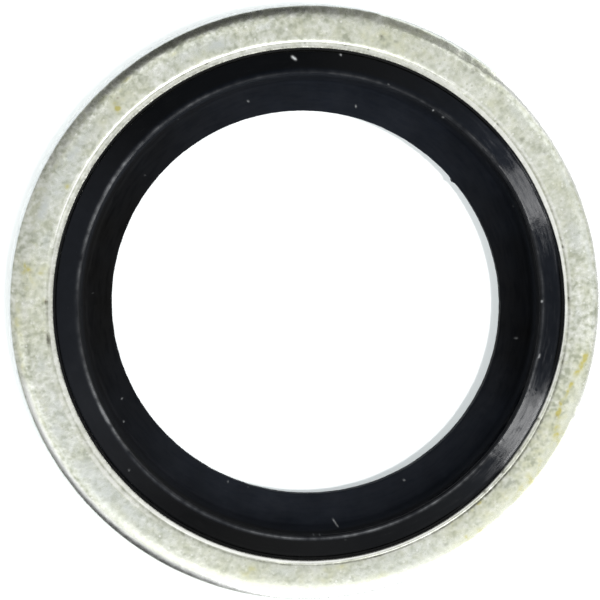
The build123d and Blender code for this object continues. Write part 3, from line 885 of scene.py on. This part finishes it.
    # painted shade: the upright side is darker and bluer, for the shaded floor it mirrors; painted highlights on the
    # rolled edge, the lip round the rubber and the ridge beside the groove
    upright = spread(t, radius, 14.21, 14.27, 0.0, 0.8)
    base = blend(t, upright, base, (0.54, 0.57, 0.595))
    rolled = calc(t, "MULTIPLY", satin_and_sheen, spread(t, radius, 13.88, 14.04, 0.0, 0.8))
    base = blend(t, rolled, base, (0.90, 0.915, 0.91))
    clear = calc(t, "SUBTRACT", 1.0, dirt_and_shade)
    lip = calc(t, "MULTIPLY", spread(t, radius, 12.42, 12.50, 1.0, 0.0), calc(t, "MULTIPLY", satin_and_sheen, clear))
    base = blend(t, lip, base, (0.88, 0.885, 0.86))
    ridge = calc(t, "MULTIPLY", spread(t, radius, 12.515, 12.545, 0.0, 1.0), spread(t, radius, 12.68, 12.74, 1.0, 0.0))
    ridge = calc(t, "MULTIPLY", calc(t, "MULTIPLY", ridge, satin_and_sheen), clear)
    base = blend(t, ridge, base, (0.90, 0.90, 0.885))
    t.links.new(base, bsdf.inputs["Base Color"])
    bsdf.inputs["Metallic"].default_value = 1.0
    rough = spread(t, mid, 0.30, 0.70, 0.32, 0.24)
    rough = calc(t, "SUBTRACT", rough, spread(t, radius, 13.5, 13.7, 0.0, 0.07))
    rough = calc(t, "SUBTRACT", rough, calc(t, "MULTIPLY", patch, 0.08))
    rough = calc(t, "ADD", rough, calc(t, "MULTIPLY", dirt_and_shade, 0.25))
    rough = calc(t, "ADD", rough, calc(t, "MULTIPLY", stain, 0.08), clamp=True)
    t.links.new(rough, bsdf.inputs["Roughness"])
    calm = calc(t, "SUBTRACT", 1.0, calc(t, "MULTIPLY", patch, 0.65))
    calm = calc(t, "SUBTRACT", calm, calc(t, "MULTIPLY", lip, 2.0), clamp=True)
    calm = calc(t, "MULTIPLY", calm, spread(t, radius, 13.3, 13.8, 1.0, 0.45))
    calm = calc(t, "SUBTRACT", calm, calc(t, "MULTIPLY", rolled, 0.4), clamp=True)
    calm = calc(t, "SUBTRACT", calm, calc(t, "MULTIPLY", ridge, 0.75), clamp=True)
    calm = calc(t, "MULTIPLY", calm, spread(t, painted_sheen, 0.0, 1.0, 1.0, 0.35))
    bumps = calc(t, "ADD", calc(t, "MULTIPLY", mid, 0.010), calc(t, "MULTIPLY", fine, 0.0004))
    bumps = calc(
        t, "ADD", bumps, calc(t, "MULTIPLY", cells.outputs["Distance"], 0.009)
    )
    height = calc(t, "MULTIPLY", bumps, calm)
    bump = put(
        t, "ShaderNodeBump", {"Height": height, "Strength": 1.0, "Distance": 0.001}
    )
    t.links.new(bump.outputs[0], bsdf.inputs["Normal"])
    return mat


# ---- black rubber ----------------------------------------------------------
def rubber_material():
    mat, t, bsdf, mm = start("black_rubber")
    marks = put(t, "ShaderNodeAttribute", attribute_name="marks")
    rgb = put(t, "ShaderNodeSeparateColor", {"Color": marks.outputs["Color"]})
    speck, smear, crest = rgb.outputs[0], rgb.outputs[1], rgb.outputs[2]
    broad = grain(t, mm, 0.55, 3.0, 0.5)
    mid = grain(t, mm, 2.6, 3.0, 0.55)
    fine = grain(t, mm, 11.0, 2.0, 0.5)
    base = ramp(
        t,
        calc(t, "ADD", calc(t, "MULTIPLY", broad, 0.6), calc(t, "MULTIPLY", mid, 0.4)),
        [
            (0.35, (0.0042, 0.0060, 0.0098)),
            (0.50, (0.0058, 0.0078, 0.0122)),
            (0.65, (0.0082, 0.0103, 0.0150)),
        ],
    )
    # the lip is a warmer black on two opposite sides
    radius = put(t, "ShaderNodeVectorMath", {0: mm, 1: (1.0, 1.0, 0.0)}, operation="MULTIPLY")
    radius = put(t, "ShaderNodeVectorMath", {0: radius.outputs[0]}, operation="LENGTH")
    radius = radius.outputs["Value"]
    beside = put(t, "ShaderNodeVectorMath", {0: mm, 1: (-0.17, 0.985, 0.0)}, operation="DOT_PRODUCT")
    beside = calc(t, "DIVIDE", beside.outputs["Value"], radius)
    warm = spread(t, calc(t, "MULTIPLY", beside, beside), 0.25, 0.80, 0.0, 0.85)
    warm = calc(t, "MULTIPLY", warm, spread(t, radius, 11.25, 11.40, 0.0, 1.0))
    base = blend(t, warm, base, (0.0060, 0.0066, 0.0074))
    # painted light and shade that comes and goes round the web and the lip, with some random tone
    tone_and_shading = spread(t, marks.outputs["Alpha"], 0.0, 1.0, 0.0, 2.0)
    base = blend(t, 1.0, base, calc(t, "MULTIPLY", tone_and_shading, 1.0), "MULTIPLY")
    dull = calc(t, "MULTIPLY", smear, spread(t, mid, 0.38, 0.60, 0.1, 1.1), clamp=True)
    base = blend(t, calc(t, "MULTIPLY", dull, 0.5), base, (0.030, 0.031, 0.034))
    # painted highlights along the crest, over a slight grey of wear all round
    worn_and_sheen = calc(t, "MULTIPLY", crest, spread(t, fine, 0.35, 0.62, 0.7, 1.1), clamp=True)
    base = blend(t, worn_and_sheen, base, (0.27, 0.28, 0.29))
    base = blend(t, calc(t, "MULTIPLY", speck, speck, clamp=True), base, (0.84, 0.87, 0.88))
    t.links.new(base, bsdf.inputs["Base Color"])
    bsdf.inputs["Metallic"].default_value = 0.0
    bsdf.inputs["IOR"].default_value = 1.5
    bsdf.inputs["Specular IOR Level"].default_value = 0.12
    # the web is matt from its mould, the lips are smoother
    matt = spread(t, radius, 10.85, 11.15, 0.70, 0.0)
    rough = calc(t, "ADD", spread(t, mid, 0.30, 0.70, 0.09, 0.13), matt)
    # fine wiping marks run round the lip
    axes = put(t, "ShaderNodeSeparateXYZ", {0: mm})
    turn = calc(t, "ARCTAN2", axes.outputs[1], axes.outputs[0])
    swept = put(
        t,
        "ShaderNodeCombineXYZ",
        {0: calc(t, "MULTIPLY", radius, 7.5), 1: calc(t, "MULTIPLY", turn, 10.0)},
    ).outputs[0]
    wiped = spread(t, grain(t, swept, 1.0, 2.0, 0.5, 0.3), 0.46, 0.72, 0.0, 0.16)
    rough = calc(t, "ADD", rough, wiped)
    rough = calc(t, "ADD", rough, calc(t, "MULTIPLY", dull, 0.22))
    rough = calc(t, "ADD", rough, calc(t, "MULTIPLY", speck, 0.3), clamp=True)
    t.links.new(rough, bsdf.inputs["Roughness"])
    height = calc(t, "ADD", calc(t, "MULTIPLY", fine, 0.0006), calc(t, "MULTIPLY", mid, 0.0025))
    bump = put(
        t, "ShaderNodeBump", {"Height": height, "Strength": 1.0, "Distance": 0.001}
    )
    t.links.new(bump.outputs[0], bsdf.inputs["Normal"])
    return mat


steel = ring_mesh("steel_ring", steel_section, 1284, shape_steel, 3)
steel.data.materials.append(steel_material())
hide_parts("metal_ring")
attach(steel, "root")

rubber = ring_mesh("sealing_rubber", rubber_section, 1140, shape_rubber, 3)
rubber.data.materials.append(rubber_material())
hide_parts("rubber_seal")
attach(rubber, "root")


# ---- floor, backdrop, light ------------------------------------------------
def floor():
    me = bpy.data.meshes.new("floor")
    s = 1.5
    me.from_pydata([(-s, -s, 0), (s, -s, 0), (s, s, 0), (-s, s, 0)], [], [(0, 1, 2, 3)])
    ob = bpy.data.objects.new("floor", me)
    bpy.context.scene.collection.objects.link(ob)
    mat = bpy.data.materials.new("pale_floor")
    mat.use_nodes = True
    b = mat.node_tree.nodes["Principled BSDF"]
    b.inputs["Base Color"].default_value = (0.56, 0.56, 0.56, 1)
    b.inputs["Roughness"].default_value = 0.9
    b.inputs["Specular IOR Level"].default_value = 0.0
    b.inputs["Emission Color"].default_value = (0.72, 0.97, 1.0, 1)
    b.inputs["Emission Strength"].default_value = 0.16
    me.materials.append(mat)
    return ob


def direction(az, el):
    a, e = math.radians(az), math.radians(el)
    return Vector((math.cos(e) * math.cos(a), math.cos(e) * math.sin(a), math.sin(e)))


def softbox(name, az, el, dist, wide, high, radiance, colour=(1, 1, 1)):
    """A rectangular light that faces the washer, wide across and high up and down."""
    data = bpy.data.lights.new(name, "AREA")
    data.shape = "RECTANGLE"
    data.size, data.size_y = wide, high
    data.energy = radiance * math.pi * wide * high
    data.color = colour
    ob = bpy.data.objects.new(name, data)
    d = direction(az, el)
    ob.location = d * dist
    side = Vector((0, 0, 1)).cross(d).normalized()
    up = d.cross(side)
    ob.rotation_mode = "QUATERNION"
    ob.rotation_quaternion = Matrix((side, up, d)).transposed().to_quaternion()
    bpy.context.scene.collection.objects.link(ob)
    return ob


def sky():
    """Soft light from overhead, strongest towards the front, with dim surroundings."""
    world = bpy.data.worlds.new("studio")
    bpy.context.scene.world = world
    world.use_nodes = True
    t = world.node_tree
    t.nodes.clear()
    out = t.nodes.new("ShaderNodeOutputWorld")
    back = t.nodes.new("ShaderNodeBackground")
    t.links.new(back.outputs[0], out.inputs["Surface"])
    d = put(t, "ShaderNodeTexCoord").outputs["Generated"]

    def lobe(az, el, inner, outer, level):
        dot = put(
            t, "ShaderNodeVectorMath", {0: d, 1: direction(az, el)}, operation="DOT_PRODUCT"
        ).outputs["Value"]
        n = put(
            t,
            "ShaderNodeMapRange",
            {
                "Value": dot,
                "From Min": math.cos(math.radians(outer)),
                "From Max": math.cos(math.radians(inner)),
                "To Min": 0.0,
                "To Max": level,
            },
            interpolation_type="SMOOTHSTEP",
        )
        return n.outputs["Result"]

    total = 0.50
    for args in SKY:
        total = calc(t, "ADD", total, lobe(*args))
    t.links.new(total, back.inputs["Strength"])
    back.inputs["Color"].default_value = (1, 1, 1, 1)


SKY = [
    # azimuth, elevation, inner and outer angle, level over the even grey surroundings
    (107, 30, 18, 31, -0.41),
    (110, 72, 5, 15, 0.58),
    (193, 38, 14, 44, 0.40),
    (60, 85, 12, 34, 0.235),
    (105, 83, 3, 11, 0.22),
    (230, 5, 18, 39, -0.42),
    (229, 51, 11, 26, 0.63),
    (278, 70, 4, 21, 0.46),
    (270, 53, 6, 20, 0.85),
    (270, 33, 4, 18, 0.35),
    (300, 48, 6, 17, 0.75),
    (335, 75, 5, 18, 0.06),
    (345, 51, 8, 25, 0.38),
    (327, 57, 5, 16, 0.20),
    (20, 37, 5, 14, 0.18),
    (12, 62, 10, 28, 0.24),
]


def only_on(light, *obs):
    lit = bpy.data.collections.new("lit_by_" + light.name)
    for ob in obs:
        lit.objects.link(ob)
    light.light_linking.receiver_collection = lit


ground = floor()
sky()
for name, az, el, wide, level in (
    ("strip_right", 19.0, 33.6, 0.104, 13.0),
    ("strip_right_core", 14.5, 33.6, 0.050, 5.0),
    ("strip_front", 328.4, 29.6, 0.099, 21.0),
):
    strip = softbox(name, az, el, 0.5, wide, 0.30, level)
    strip.visible_diffuse = False
    only_on(strip, rubber)

for name, az, el, wide, power, ob in (
    ("overhead", 8, 83, 0.022, 0.64, rubber), ("overhead_soft", 348, 86.5, 0.040, 0.43, steel),
):
    over = softbox(name, az, el, 0.5, wide, wide, power / wide**2)
    only_on(over, ground)
    blocks = bpy.data.collections.new("blocks_" + name)
    blocks.objects.link(ob)
    over.light_linking.blocker_collection = blocks

for az, el, wide, high, level in (
    (288, 27, 0.40, 0.36, 1.6), (314, 22, 0.30, 0.36, 1.6), (350, 13, 0.36, 0.26, 1.6),
    (14, 12, 0.30, 0.28, 1.6), (34, 12, 0.24, 0.20, 1.6), (36, 50, 0.20, 0.22, 0.7),
):
    only_on(softbox("low_%d" % az, az, el, 0.5, wide, high, level), steel)


def backdrop():
    """A pale wall round the scene that only the camera sees."""
    me = bpy.data.meshes.new("backdrop")
    n, rad, high = 64, 1.5, 1.2
    ring = [(rad * math.cos(2 * math.pi * k / n), rad * math.sin(2 * math.pi * k / n)) for k in range(n)]
    co = [(x, y, -0.01) for x, y in ring] + [(x, y, high) for x, y in ring]
    me.from_pydata(co, [], [(k, (k + 1) % n, n + (k + 1) % n, n + k) for k in range(n)])
    ob = bpy.data.objects.new("backdrop", me)
    bpy.context.scene.collection.objects.link(ob)
    mat = bpy.data.materials.new("pale_backdrop")
    mat.use_nodes = True
    t = mat.node_tree
    t.nodes.clear()
    out = t.nodes.new("ShaderNodeOutputMaterial")
    em = put(t, "ShaderNodeEmission", {"Color": (0.93, 0.94, 0.95, 1), "Strength": 0.92})
    t.links.new(em.outputs[0], out.inputs["Surface"])
    me.materials.append(mat)
    for flag in ("visible_diffuse", "visible_glossy", "visible_transmission", "visible_shadow"):
        setattr(ob, flag, False)


backdrop()

# ---- camera ----------------------------------------------------------------
CAM_AZ, CAM_TILT, CAM_DIST, CAM_LENS = 138.0, 7.5, 215.0, 270.3
AIM = (-0.440, 0.228, 2.85)
cam_data = bpy.data.cameras.new("camera")
cam_data.sensor_width = 36
cam_data.lens = CAM_LENS
cam_data.clip_start, cam_data.clip_end = 0.01, 10
cam = bpy.data.objects.new("camera", cam_data)
bpy.context.scene.collection.objects.link(cam)
bpy.context.scene.camera = cam
away = direction(CAM_AZ, 90 - CAM_TILT)
cam.location = (Vector(AIM) + away * CAM_DIST) * MM
right = Vector((0, 1, 0)).cross(away).normalized()
cam.rotation_mode = "QUATERNION"
cam.rotation_quaternion = Matrix((right, away.cross(right), away)).transposed().to_quaternion()

view = bpy.context.scene.view_settings
view.view_transform = "Standard"
view.look = "None"
view.exposure = 0.0
view.gamma = 1.0
